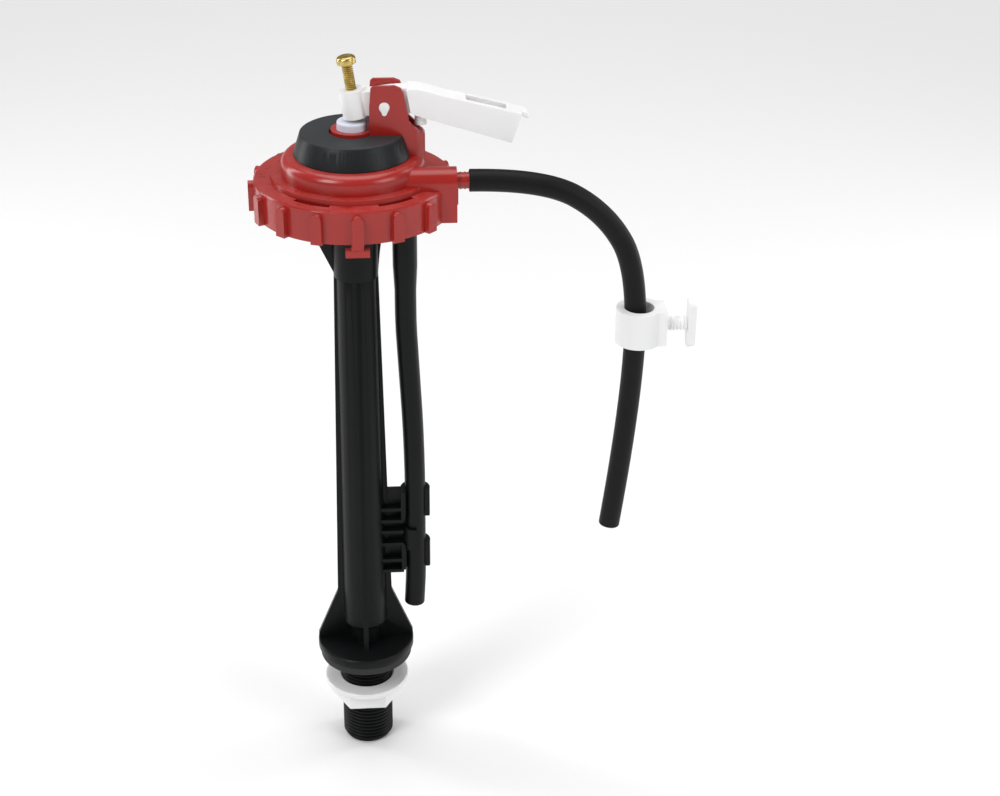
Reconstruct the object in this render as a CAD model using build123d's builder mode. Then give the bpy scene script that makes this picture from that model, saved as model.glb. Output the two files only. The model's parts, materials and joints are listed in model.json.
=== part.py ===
from build123d import *
import os
from math import cos, pi, radians, sin, tan

os.makedirs("parts", exist_ok=True)

# Float valve (diaphragm ballcock) for a cistern. Millimetres, +Z up.
# Origin: on the shank's axis, in the underside of the shank washer, which rests on the tank floor.
# +X is the side of the float lever, the hush tube and the refill nipple; -Y is the front.

# Clearances
running_clearance = 0.05
body_gap = 0.4
sealing_gap = 0.3

# How far a feature is sunk into its neighbour so that the two join
sink = 1.0

# Shank, washer and lock nut
thread_radius = 11.1
shank_length = 44.0
shank_end_chamfer = 1.6
inlet_bore_radius = 7.4
inlet_bore_depth = 30.0
water_bore_radius = 5.0
water_bore_taper = 6.0
washer_radius = 20.0
washer_thickness = 3.5
flange_radius = 21.0
flange_thickness = 4.5
flange_edge = 0.5
flange_lower_edge = 0.9
nut_drop = 12.0
nut_flange_radius = 18.6
nut_flange_thickness = 3.0
nut_hex_flats = 27.5
nut_hex_height = 8.0
nut_mouth_ease = 0.7
nut_mouth_depth = 1.5
nut_corner = 0.5
nut_rim_chamfer = 0.4
nut_rim_slope = 1.6
nut_rim_drop = 1.0
relief_below_nut = 0.2
relief_width = 0.8
relief_depth = 0.3

# Riser tube and its four fins
riser_bottom_radius = 9.6
riser_top_radius = 8.1
riser_core_wall = 1.6
riser_foot_lift = 7.3
riser_height = 175.5
riser_spigot_radius = 7.2
riser_spigot_gap = 2.1
fin_thickness = 2.2
fin_root_radius = 6.2
fin_foot_step = 1.0
fin_bottom_radius = 11.8
fin_top_radius = 8.95
fin_flare_height = 24.5
fin_flare_edge = 2.4

# Clip bracket on the riser, which holds the hush tube
hush_clip_x = 22.6
clip_bottom = 43.2
clip_top = 83.4
clip_web_thickness = 2.0
clip_rib_depth = 9.2
clip_rib_thickness = 1.5
clip_rib_levels = (43.2, 48.6, 56.8, 63.0, 68.4, 74.2)
clip_wall_thickness = 1.8
clip_back_fingers = ((44.4, 57.2), (70.0, 83.4))
clip_front_finger = (54.6, 65.0)
clip_finger_overhang = 2.0
clip_front_reach = 0.3
clip_front_inset = 0.4
clip_join = 0.1

# Bowl on top of the riser
neck_height = 30.1
neck_bottom_radius = 8.95
neck_top_radius = 9.7
bowl_floor_thickness = 2.0
bowl_side_gap = 1.8
bowl_wall = 2.0
bowl_height = 8.6
gusset_thickness = 2.0
gusset_foot_lift = 1.5
left_gusset_reach = 22.0
right_gusset_reach = 13.8
right_gusset_waist = 10.6
gusset_root = 0.8
ring_radius = 16.0
ring_wall = 2.5
ring_window_count = 6
ring_window_width = 5.0
ring_window_height = 3.4
ring_window_lift = 0.6
ring_window_turn = 30.0
nozzle_wall = 2.1
seat_height = 2.6
seat_proud = 1.0
seat_radius = 6.4
seat_bore_radius = 4.2
seat_land = 0.8
lug_count = 8
lug_angle = 15.0
lug_height = 2.0
lug_depth = 1.4
bowl_lug_lift = 3.9
spigot_x = 19.7
spigot_radius = 3.45
spigot_bore_radius = 2.6
spigot_length = 22.0

# Diaphragm and plunger
seat_opening = 3.0
insert_radius = 6.5
insert_disc = 1.2
insert_hub_radius = 3.5
web_thickness = 1.3
diaphragm_slack = 0.05
diaphragm_roll_radius = 10.2
diaphragm_roll_height = 1.3
diaphragm_roll_reach = 2.2
diaphragm_rim_sink = 0.9
diaphragm_rim_height = 2.8
plunger_radius = 5.9
plunger_rise = 3.3
plunger_length = 16.5
plunger_stem_radius = 3.0
plunger_edge = 0.6
ring_groove_depth = 1.5
o_ring_section = 0.75
o_ring_below_top = 9.0
o_ring_squeeze = 0.02

# Cap, one red moulding
cap_rise = 3.8
cap_thickness = 2.2
skirt_radius = 38.8
skirt_wall = 1.8
skirt_height = 13.0
rib_count = 16
rib_turn = 1.6
rib_width = 4.4
rib_height = 2.2
rib_top_drop = 1.2
shelf_radius = 32.0
shelf_height = 1.8
shelf_draft = 0.3
rim_chamfer = 0.5
slot_radius = 33.2
slot_width = 2.0
slot_sweep = 26.0
slot_turn = 29.0
bulge_radius = 27.9
bulge_wall = 2.0
deck_rise = 9.3
bulge_round = 3.7
collar_wall = 2.35
collar_rise = 9.9
guide_depth = 5.9
vent_count = 10
vent_radius = 1.2
vent_circle = 20.0
vent_start = 36.0
vent_sweep = 288.0
tab_width = 9.2
tab_thickness = 2.7
tab_drop = 4.3
tab_depth = 3.8
tab_stem_width = 4.6
tab_x = 0.9
tab_inset = 0.2
flap_gap = 0.8
flap_thickness = 0.8

# Refill nipple and its housing
nipple_y = -14.0
nipple_rise = 2.3
housing_proud = 0.8
nipple_radius = 3.2
nipple_ridge = 0.2
nipple_ridge_count = 6
nipple_ridge_pitch = 1.7
nipple_ridge_start = 1.2
nipple_ridge_width = 0.6
nipple_bore_run_in = 6.0
barb_run = 12.0
barb_radius = 3.6
nipple_length = 16.7
nipple_tip_radius = 2.5
nipple_bore_radius = 1.5
housing_radius = 5.5

# Clevis, lever, pin and adjusting screw
pivot_x = 12.5
pivot_rise = 19.8
clevis_half_width = 5.5
ear_thickness = 1.8
ear_foot_left = 6.2
ear_foot_right = 23.4
ear_foot_rise = 4.0
# Ear corners as x and height above the pin
ear_corners = (
    (6.8, 0.0),
    (7.4, 7.3),
    (8.4, 8.3),
    (16.6, 8.3),
    (18.9, 7.3),
    (20.0, 5.1),
    (21.5, -3.2),
)
pin_radius = 2.1
pin_proud = 0.1
pin_end_chamfer = 0.3
hole_tail = 3.4
hole_tail_radius = 1.0
hole_side_x = 1.95
hole_side_drop = 0.76
post_left = 20.6
post_x = 28.1
post_rise_left = 13.7
post_rise_right = 7.7
post_bevel = 3.4
post_slope_left = 21.6
post_margin = 0.2
post_stop_rise = 8.8
lever_half_width = 5.0
lever_wall = 1.6
lever_tongue_half_width = 3.3
lever_shoulder = 1.0
# Paddle's top and lower edges, its lip and the tongue's outline, as x and height above the pin
paddle_top = ((20.9, 6.9), (25.3, 6.7), (30.4, 5.4), (36.0, 3.7), (65.5, -3.8))
paddle_low = ((61.6, -15.3), (29.9, -5.4), (22.6, -2.9))
paddle_hollow_x = 24.4
paddle_hollow_low = -25.1
paddle_hollow_corner = 50.0
lip_outline = ((64.6, -3.57), (67.6, -4.4), (68.4, -6.6), (66.9, -6.3), (66.3, -5.7), (64.6, -5.4))
lip_back_y = 2.0
tongue_top = ((24.6, 6.6), (20.2, 6.8), (15.0, 6.5), (7.4, 5.6), (3.0, 5.2))
tongue_low = ((3.0, -3.5), (8.0, -4.1), (12.5, -4.4), (18.0, -4.1), (24.6, -2.7))
boss_radius = 4.9
boss_height = 11.0
boss_top_x = 0.1
boss_top_rise = 5.8
boss_tilt = 8.0
stub_x = 26.6
stub_radius = 2.4
stub_drop = 8.5
stub_length = 13.85
slot_start_x = 44.0
slot_end_x = 59.6
slot_front_y = -2.2
slot_back_y = 3.2
screw_radius = 2.08
screw_exposed = 10.3
screw_tip_chamfer = 0.4
screw_tip = 0.5
screw_head_radius = 3.7
screw_head_height = 2.9
screw_head_round = 1.3
screw_slot_width = 1.0
screw_slot_depth = 0.9
screw_slot_turn = 76.0

# Splash cover
cover_bottom_radius = 23.1
cover_top_radius = 20.2
cover_height = 8.9
cover_wall = 1.8
cover_edge = 0.4

# Hush tube
hush_radius = 4.4
hush_bore_radius = 3.1
hush_flare_wall = 1.45
hush_flare_length = 24.0
hush_cone_length = 11.0
hush_top_gap = 2.4
hush_first_bend = 16.2
hush_second_bend = 105.0
hush_third_bend = 40.0
hush_end_x = 21.8
hush_end_z = 25.0

# Refill tube, its clamp and the thumb screw
refill_radius = 4.4
refill_bore_radius = 3.1
# The refill tube's route as distance from the housing and height above the nipple's axis
refill_steps = (
    (4.8, 0.0),
    (33.3, 0.0),
    (58.0, -14.3),
    (72.2, -39.0),
    (72.2, -99.0),
    (65.0, -157.5),
)
clamp_drop = 63.3
clamp_radius = 9.3
clamp_height = 15.0
clamp_bore_radius = 6.1
clamp_offset = 1.25
clamp_pad_width = 12.0
clamp_pad_reach = 10.8
thumb_radius = 3.0
thumb_exposed = 9.0
thumb_bar_length = 21.0
thumb_bar_width = 6.2
thumb_bar_thickness = 3.4
thumb_bar_round = 0.7

# Inlet strainer
strainer_inset = 3.0
strainer_height = 12.0
strainer_wall = 0.9
strainer_hole_radius = 0.9
strainer_ring = 3.6
strainer_outer_ring = 5.2
strainer_small_hole = 0.63

# Levels and radii that follow from the sizes above
flange_top = washer_thickness + flange_thickness
riser_core_radius = water_bore_radius + riser_core_wall
riser_foot_bottom = flange_top + riser_foot_lift
foot_round = riser_bottom_radius - riser_core_radius
inlet_bore_top = -shank_length + inlet_bore_depth
water_bore_start = inlet_bore_top + water_bore_taper
strainer_bottom = -shank_length + strainer_inset
nut_top = -nut_drop
nut_bottom = nut_top - nut_flange_thickness - nut_hex_height
nut_mouth_radius = thread_radius + nut_mouth_ease
relief_top = nut_bottom - relief_below_nut
neck_bottom = flange_top + riser_height
bowl_bottom = neck_bottom + neck_height
riser_spigot_top = bowl_bottom - riser_spigot_gap
bowl_floor = bowl_bottom + bowl_floor_thickness
bowl_rim = bowl_bottom + bowl_height
bowl_radius = skirt_radius - skirt_wall - bowl_side_gap
seat_bottom = bowl_floor
seat_top = bowl_floor + seat_height
nozzle_radius = seat_radius + nozzle_wall
nozzle_top = seat_top - seat_proud
insert_bottom = seat_top + seat_opening
insert_web = insert_bottom + insert_disc
insert_top = insert_web + web_thickness + 2 * diaphragm_slack + insert_disc
ring_top = insert_web + diaphragm_slack - diaphragm_rim_sink
diaphragm_rim_top = ring_top + diaphragm_rim_height
clamp_ring_bottom = diaphragm_rim_top + sealing_gap
cap_top = bowl_rim + cap_rise
rib_radius = skirt_radius + rib_height
skirt_inner_radius = skirt_radius - skirt_wall
skirt_bottom = cap_top - skirt_height
cap_underside = cap_top - cap_thickness
deck_top = cap_top + deck_rise
deck_underside = deck_top - cap_thickness
guide_bottom = deck_top - guide_depth
bulge_inner_radius = bulge_radius - bulge_wall
collar_top = deck_top + collar_rise
plunger_bore_radius = plunger_radius + running_clearance
collar_radius = plunger_bore_radius + collar_wall
plunger_top = collar_top + plunger_rise
plunger_shoulder = plunger_top - plunger_length
o_ring_z = plunger_top - o_ring_below_top
nipple_z = cap_top + nipple_rise
nipple_root_x = skirt_radius + housing_proud
barb_x = nipple_root_x + barb_run
nipple_tip_x = nipple_root_x + nipple_length
pivot_z = deck_top + pivot_rise
ear_inner = clevis_half_width - ear_thickness
ear_top = pivot_z + max(rise for x, rise in ear_corners)
post_top_left = deck_top + post_rise_left
post_top_right = deck_top + post_rise_right
post_stop_top = deck_top + post_stop_rise
boss_top_z = pivot_z + boss_top_rise
stub_bottom = pivot_z - stub_drop
cover_top = deck_top + cover_height
cover_notch = clevis_half_width + body_gap
clip_inner_radius = hush_radius + 2 * running_clearance
clip_outer_radius = clip_inner_radius + clip_wall_thickness
clip_base_x = hush_clip_x - clip_outer_radius
bowl_lug_bottom = bowl_bottom + bowl_lug_lift
cap_lug_top = bowl_lug_bottom - body_gap
hush_top = bowl_bottom - hush_top_gap
hush_flare_bottom = hush_top - hush_flare_length
hush_cone_bottom = hush_flare_bottom - hush_cone_length
hush_flare_radius = spigot_radius + running_clearance + hush_flare_wall
hush_route = (
    (spigot_x, hush_cone_bottom),
    (spigot_x, hush_cone_bottom - hush_first_bend),
    (hush_clip_x, hush_second_bend),
    (hush_clip_x, hush_third_bend),
    (hush_end_x, hush_end_z),
)
refill_route = [(nipple_root_x + run, nipple_z + rise) for run, rise in refill_steps]
clamp_axis_x = refill_route[3][0] + clamp_offset
clamp_z = nipple_z - clamp_drop
hole_tail_z = pivot_z - hole_tail + hole_tail_radius
hole_tail_corners = (
    (pivot_x - hole_side_x, pivot_z - hole_side_drop),
    (pivot_x - hole_tail_radius, hole_tail_z),
    (pivot_x + hole_tail_radius, hole_tail_z),
    (pivot_x + hole_side_x, pivot_z - hole_side_drop),
)


def ring_sector(inner, outer, sweep_angle):
    """A flat ring sector centred on +X."""
    with BuildSketch(mode=Mode.PRIVATE) as sector:
        with BuildLine():
            outside = CenterArc((0, 0), outer, -sweep_angle / 2, sweep_angle)
            inside = CenterArc((0, 0), inner, -sweep_angle / 2, sweep_angle)
            Line(outside @ 0, inside @ 0)
            Line(outside @ 1, inside @ 1)
        make_face()
    return sector.sketch


def bend_radii(route):
    """The largest arc at each corner of a route that leaves a tenth of its shorter run straight."""
    radii = []
    for before, corner, after in zip(route, route[1:], route[2:]):
        run_in = Vector(*corner) - Vector(*before)
        run_out = Vector(*after) - Vector(*corner)
        half_turn = radians(run_in.get_angle(run_out) / 2)
        radii.append(0.45 * min(run_in.length, run_out.length) / tan(half_turn))
    return radii


# Riser: shank, flange, finned tube and clip bracket in one moulding
with BuildPart() as riser:
    with BuildSketch(Plane.XZ):
        with BuildLine():
            Polyline(
                (inlet_bore_radius, -shank_length),
                (thread_radius - shank_end_chamfer, -shank_length),
                (thread_radius, -shank_length + shank_end_chamfer),
                (thread_radius, relief_top - relief_width),
                (thread_radius - relief_depth, relief_top - relief_width),
                (thread_radius - relief_depth, relief_top),
                (thread_radius, relief_top),
                (thread_radius, washer_thickness),
                (flange_radius - flange_lower_edge, washer_thickness),
                (flange_radius, washer_thickness + flange_lower_edge),
                (flange_radius, flange_top - flange_edge),
                (flange_radius - flange_edge, flange_top),
                (riser_core_radius, flange_top),
                (riser_core_radius, riser_foot_bottom),
            )
            RadiusArc(
                (riser_core_radius, riser_foot_bottom),
                (riser_bottom_radius, riser_foot_bottom + foot_round),
                -foot_round,
            )
            Polyline(
                (riser_bottom_radius, riser_foot_bottom + foot_round),
                (riser_top_radius, neck_bottom),
                (riser_spigot_radius, neck_bottom),
                (riser_spigot_radius, riser_spigot_top),
                (water_bore_radius, riser_spigot_top),
                (water_bore_radius, water_bore_start),
                (inlet_bore_radius, inlet_bore_top),
                (inlet_bore_radius, -shank_length),
            )
        make_face()
    revolve(axis=Axis.Z)
    with BuildSketch(Plane.XZ):
        with BuildLine():
            Polyline(
                (fin_root_radius, flange_top - flange_edge),
                (flange_radius - flange_edge, flange_top - flange_edge),
                (flange_radius - flange_edge / 2, flange_top + fin_flare_edge),
                (fin_bottom_radius, flange_top + fin_flare_height),
                (fin_top_radius, neck_bottom),
                (fin_root_radius, neck_bottom),
                close=True,
            )
        make_face()
    extrude(amount=fin_thickness / 2, both=True)
    with BuildSketch(Plane.YZ):
        with BuildLine():
            Polyline(
                (-fin_root_radius, flange_top - flange_edge),
                (-fin_bottom_radius - fin_foot_step, flange_top - flange_edge),
                (-fin_bottom_radius, flange_top + fin_flare_edge),
                (-fin_top_radius, neck_bottom),
                (-fin_root_radius, neck_bottom),
                close=True,
            )
        make_face()
    extrude(amount=fin_thickness / 2, both=True)
    mirror(about=Plane.YZ)
    mirror(about=Plane.XZ)
    with BuildSketch(Plane.XY.offset(clip_bottom)):
        with Locations(((fin_root_radius + clip_base_x) / 2 + sink, 0)):
            Rectangle(clip_base_x - fin_root_radius + 2 * sink, clip_web_thickness)
    extrude(amount=clip_top - clip_bottom)
    for level in clip_rib_levels:
        with BuildSketch(Plane.XY.offset(level)):
            with Locations(((fin_root_radius + clip_base_x) / 2 + sink / 2, 0)):
                Rectangle(clip_base_x - fin_root_radius + sink, clip_rib_depth)
        extrude(amount=clip_rib_thickness)
    for low, high in clip_back_fingers:
        with BuildSketch(Plane.XY.offset(low)):
            with Locations((hush_clip_x, 0)):
                Circle(clip_outer_radius)
                Circle(clip_inner_radius, mode=Mode.SUBTRACT)
            with Locations((hush_clip_x, -clip_finger_overhang - clip_outer_radius)):
                Rectangle(4 * clip_outer_radius, 2 * clip_outer_radius, mode=Mode.SUBTRACT)
            with Locations((clip_base_x + clip_wall_thickness / 2, -clip_rib_depth / 4)):
                Rectangle(clip_wall_thickness - clip_join, clip_rib_depth / 2)
        extrude(amount=high - low)
    with BuildSketch(Plane.XY.offset(clip_front_finger[0])):
        with Locations((hush_clip_x, 0)):
            Circle(clip_outer_radius - clip_front_inset)
            Circle(clip_inner_radius, mode=Mode.SUBTRACT)
        with Locations((hush_clip_x, clip_outer_radius)):
            Rectangle(4 * clip_outer_radius, 2 * clip_outer_radius, mode=Mode.SUBTRACT)
        with Locations((hush_clip_x + clip_front_reach + clip_outer_radius, 0)):
            Rectangle(2 * clip_outer_radius, 4 * clip_outer_radius, mode=Mode.SUBTRACT)
        with Locations((clip_base_x + clip_wall_thickness / 2, 0)):
            Rectangle(clip_wall_thickness - clip_join, clip_web_thickness)
    extrude(amount=clip_front_finger[1] - clip_front_finger[0])
    # The tube's own way through the riser stays round behind the fins and the bracket
    with BuildSketch(Plane.XY.offset(flange_top)):
        Circle(water_bore_radius)
    extrude(amount=neck_bottom - flange_top, mode=Mode.SUBTRACT)
riser.part.label = "riser"
export_step(riser.part, "parts/riser.step")

# Rubber washer under the flange
with BuildPart() as shank_washer:
    with BuildSketch():
        Circle(washer_radius)
        Circle(thread_radius + running_clearance, mode=Mode.SUBTRACT)
    extrude(amount=washer_thickness)
shank_washer.part.label = "shank_washer"
export_step(shank_washer.part, "parts/shank_washer.step")

# Lock nut, flange upwards
with BuildPart() as lock_nut:
    with BuildSketch(Plane.XY.offset(nut_bottom)):
        RegularPolygon(nut_hex_flats / 2, 6, major_radius=False)
    extrude(amount=nut_hex_height)
    chamfer(lock_nut.edges().group_by(Axis.Z)[0], length=nut_corner)
    with BuildSketch(Plane.XZ):
        with BuildLine():
            Polyline(
                (0, nut_top),
                (nut_flange_radius - nut_rim_chamfer, nut_top),
                (nut_flange_radius, nut_top - nut_rim_chamfer),
                (nut_flange_radius, nut_top - nut_flange_thickness + nut_rim_drop),
                (nut_flange_radius - nut_rim_slope, nut_top - nut_flange_thickness),
                (0, nut_top - nut_flange_thickness),
                close=True,
            )
        make_face()
    revolve(axis=Axis.Z)
    with BuildSketch(Plane.XY.offset(nut_bottom)):
        Circle(thread_radius + running_clearance)
    extrude(amount=nut_top - nut_bottom, mode=Mode.SUBTRACT)
    with BuildSketch(Plane.XY.offset(nut_bottom)):
        Circle(nut_mouth_radius)
    extrude(amount=nut_mouth_depth, mode=Mode.SUBTRACT)
lock_nut.part.label = "lock_nut"
export_step(lock_nut.part, "parts/lock_nut.step")

# Strainer pressed into the inlet
with BuildPart() as inlet_strainer:
    with BuildSketch(Plane.XY.offset(strainer_bottom)):
        Circle(inlet_bore_radius - running_clearance)
        Circle(inlet_bore_radius - running_clearance - strainer_wall, mode=Mode.SUBTRACT)
    extrude(amount=strainer_height)
    with BuildSketch(Plane.XY.offset(strainer_bottom + strainer_height - strainer_wall)):
        Circle(inlet_bore_radius - running_clearance)
        Circle(strainer_hole_radius, mode=Mode.SUBTRACT)
        with PolarLocations(strainer_ring, 6):
            Circle(strainer_hole_radius, mode=Mode.SUBTRACT)
        with PolarLocations(strainer_outer_ring, 12):
            Circle(strainer_small_hole, mode=Mode.SUBTRACT)
    extrude(amount=strainer_wall)
inlet_strainer.part.label = "inlet_strainer"
export_step(inlet_strainer.part, "parts/inlet_strainer.step")

# Bowl: neck, floor, wall, inner ring, nozzle, gussets, bayonet lugs and hush spigot
with BuildPart() as valve_bowl:
    with BuildSketch(Plane.XZ):
        with BuildLine():
            Polyline(
                (riser_spigot_radius + running_clearance, neck_bottom),
                (neck_bottom_radius, neck_bottom),
                (neck_top_radius, bowl_bottom),
                (bowl_radius, bowl_bottom),
                (bowl_radius, bowl_rim),
                (bowl_radius - bowl_wall, bowl_rim),
                (bowl_radius - bowl_wall, bowl_floor),
                (ring_radius, bowl_floor),
                (ring_radius, ring_top),
                (ring_radius - ring_wall, ring_top),
                (ring_radius - ring_wall, bowl_floor),
                (nozzle_radius, bowl_floor),
                (nozzle_radius, nozzle_top),
                (seat_radius, nozzle_top),
                (seat_radius, seat_bottom),
                (water_bore_radius, seat_bottom),
                (water_bore_radius, riser_spigot_top),
                (riser_spigot_radius + running_clearance, riser_spigot_top),
                close=True,
            )
        make_face()
    revolve(axis=Axis.Z)
    with BuildSketch(Plane.XZ):
        with BuildLine():
            Polyline(
                (-riser_spigot_radius - gusset_root, neck_bottom + gusset_foot_lift),
                (-neck_bottom_radius, neck_bottom + gusset_foot_lift),
                (-left_gusset_reach, bowl_bottom),
                (-left_gusset_reach, bowl_bottom + sink / 2),
                (-riser_spigot_radius - gusset_root, bowl_bottom + sink / 2),
                close=True,
            )
        make_face()
        with BuildLine():
            foot = (neck_bottom_radius, neck_bottom + gusset_foot_lift)
            head = (right_gusset_reach, bowl_bottom)
            ThreePointArc(foot, (right_gusset_waist, (foot[1] + head[1]) / 2), head)
            Polyline(
                head,
                (right_gusset_reach, bowl_bottom + sink / 2),
                (riser_spigot_radius + gusset_root, bowl_bottom + sink / 2),
                (riser_spigot_radius + gusset_root, neck_bottom + gusset_foot_lift),
                foot,
            )
        make_face()
    extrude(amount=gusset_thickness / 2, both=True)
    with BuildSketch(Plane.XY.offset(bowl_floor + ring_window_lift)):
        with PolarLocations(ring_radius - ring_wall / 2, ring_window_count, start_angle=ring_window_turn):
            Rectangle(2 * ring_wall, ring_window_width)
    extrude(amount=ring_window_height, mode=Mode.SUBTRACT)
    with BuildSketch(Plane.XY.offset(bowl_lug_bottom)):
        with PolarLocations(0, lug_count):
            add(ring_sector(bowl_radius - sink, bowl_radius + lug_depth, lug_angle))
    extrude(amount=lug_height)
    with BuildSketch(Plane.XY.offset(bowl_floor)):
        with Locations((spigot_x, 0)):
            Circle(spigot_radius)
    extrude(amount=-spigot_length)
    with BuildSketch(Plane.XY.offset(bowl_floor)):
        with Locations((spigot_x, 0)):
            Circle(spigot_bore_radius)
    extrude(amount=-spigot_length, mode=Mode.SUBTRACT)
valve_bowl.part.label = "valve_bowl"
export_step(valve_bowl.part, "parts/valve_bowl.step")

# Hard seat pressed into the nozzle
with BuildPart() as valve_seat:
    with BuildSketch(Plane.XZ):
        with BuildLine():
            Polyline(
                (seat_bore_radius, seat_bottom),
                (seat_radius, seat_bottom),
                (seat_radius, nozzle_top),
                (seat_bore_radius + seat_land, seat_top),
                (seat_bore_radius, seat_top),
                close=True,
            )
        make_face()
    revolve(axis=Axis.Z)
valve_seat.part.label = "valve_seat"
export_step(valve_seat.part, "parts/valve_seat.step")

# Rubber diaphragm with a thick rim and one rolled wave
web_bottom = insert_web + diaphragm_slack
with BuildPart() as diaphragm:
    with BuildSketch(Plane.XZ):
        inner = insert_hub_radius + diaphragm_slack
        wave_in = diaphragm_roll_radius - diaphragm_roll_reach
        wave_out = diaphragm_roll_radius + diaphragm_roll_reach
        rim_in = ring_radius - ring_wall
        with BuildLine():
            Line((inner, web_bottom), (wave_in, web_bottom))
            ThreePointArc(
                (wave_in, web_bottom),
                (diaphragm_roll_radius, web_bottom + diaphragm_roll_height),
                (wave_out, web_bottom),
            )
            Polyline(
                (wave_out, web_bottom),
                (rim_in, web_bottom),
                (rim_in, ring_top),
                (ring_radius, ring_top),
                (ring_radius, diaphragm_rim_top),
                (rim_in, diaphragm_rim_top),
                (rim_in, web_bottom + web_thickness),
                (wave_out, web_bottom + web_thickness),
            )
            ThreePointArc(
                (wave_out, web_bottom + web_thickness),
                (diaphragm_roll_radius, web_bottom + web_thickness + diaphragm_roll_height),
                (wave_in, web_bottom + web_thickness),
            )
            Polyline(
                (wave_in, web_bottom + web_thickness),
                (inner, web_bottom + web_thickness),
                (inner, web_bottom),
            )
        make_face()
    revolve(axis=Axis.Z)
diaphragm.part.label = "diaphragm"
export_step(diaphragm.part, "parts/diaphragm.step")

# Plastic insert in the middle of the diaphragm, which closes on the seat
with BuildPart() as diaphragm_insert:
    with BuildSketch(Plane.XZ):
        with BuildLine():
            Polyline(
                (0, insert_bottom),
                (insert_radius, insert_bottom),
                (insert_radius, insert_web),
                (insert_hub_radius, insert_web),
                (insert_hub_radius, insert_top - insert_disc),
                (insert_radius, insert_top - insert_disc),
                (insert_radius, insert_top),
                (0, insert_top),
                close=True,
            )
        make_face()
    revolve(axis=Axis.Z)
diaphragm_insert.part.label = "diaphragm_insert"
export_step(diaphragm_insert.part, "parts/diaphragm_insert.step")

# Plunger, with a groove for its O-ring
with BuildPart() as plunger:
    with BuildSketch(Plane.XZ):
        with BuildLine():
            Polyline(
                (0, insert_top),
                (plunger_stem_radius, insert_top),
                (plunger_stem_radius, plunger_shoulder),
                (plunger_radius, plunger_shoulder),
                (plunger_radius, o_ring_z - o_ring_section - running_clearance),
                (plunger_radius - ring_groove_depth, o_ring_z - o_ring_section - running_clearance),
                (plunger_radius - ring_groove_depth, o_ring_z + o_ring_section + running_clearance),
                (plunger_radius, o_ring_z + o_ring_section + running_clearance),
                (plunger_radius, plunger_top - plunger_edge),
                (plunger_radius - plunger_edge, plunger_top),
                (0, plunger_top),
                close=True,
            )
        make_face()
    revolve(axis=Axis.Z)
plunger.part.label = "plunger"
export_step(plunger.part, "parts/plunger.step")

with BuildPart() as plunger_o_ring:
    with BuildSketch(Plane.XZ):
        with Locations((plunger_radius - o_ring_section, o_ring_z)):
            Circle(o_ring_section - o_ring_squeeze)
    revolve(axis=Axis.Z)
plunger_o_ring.part.label = "plunger_o_ring"
export_step(plunger_o_ring.part, "parts/plunger_o_ring.step")

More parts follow.
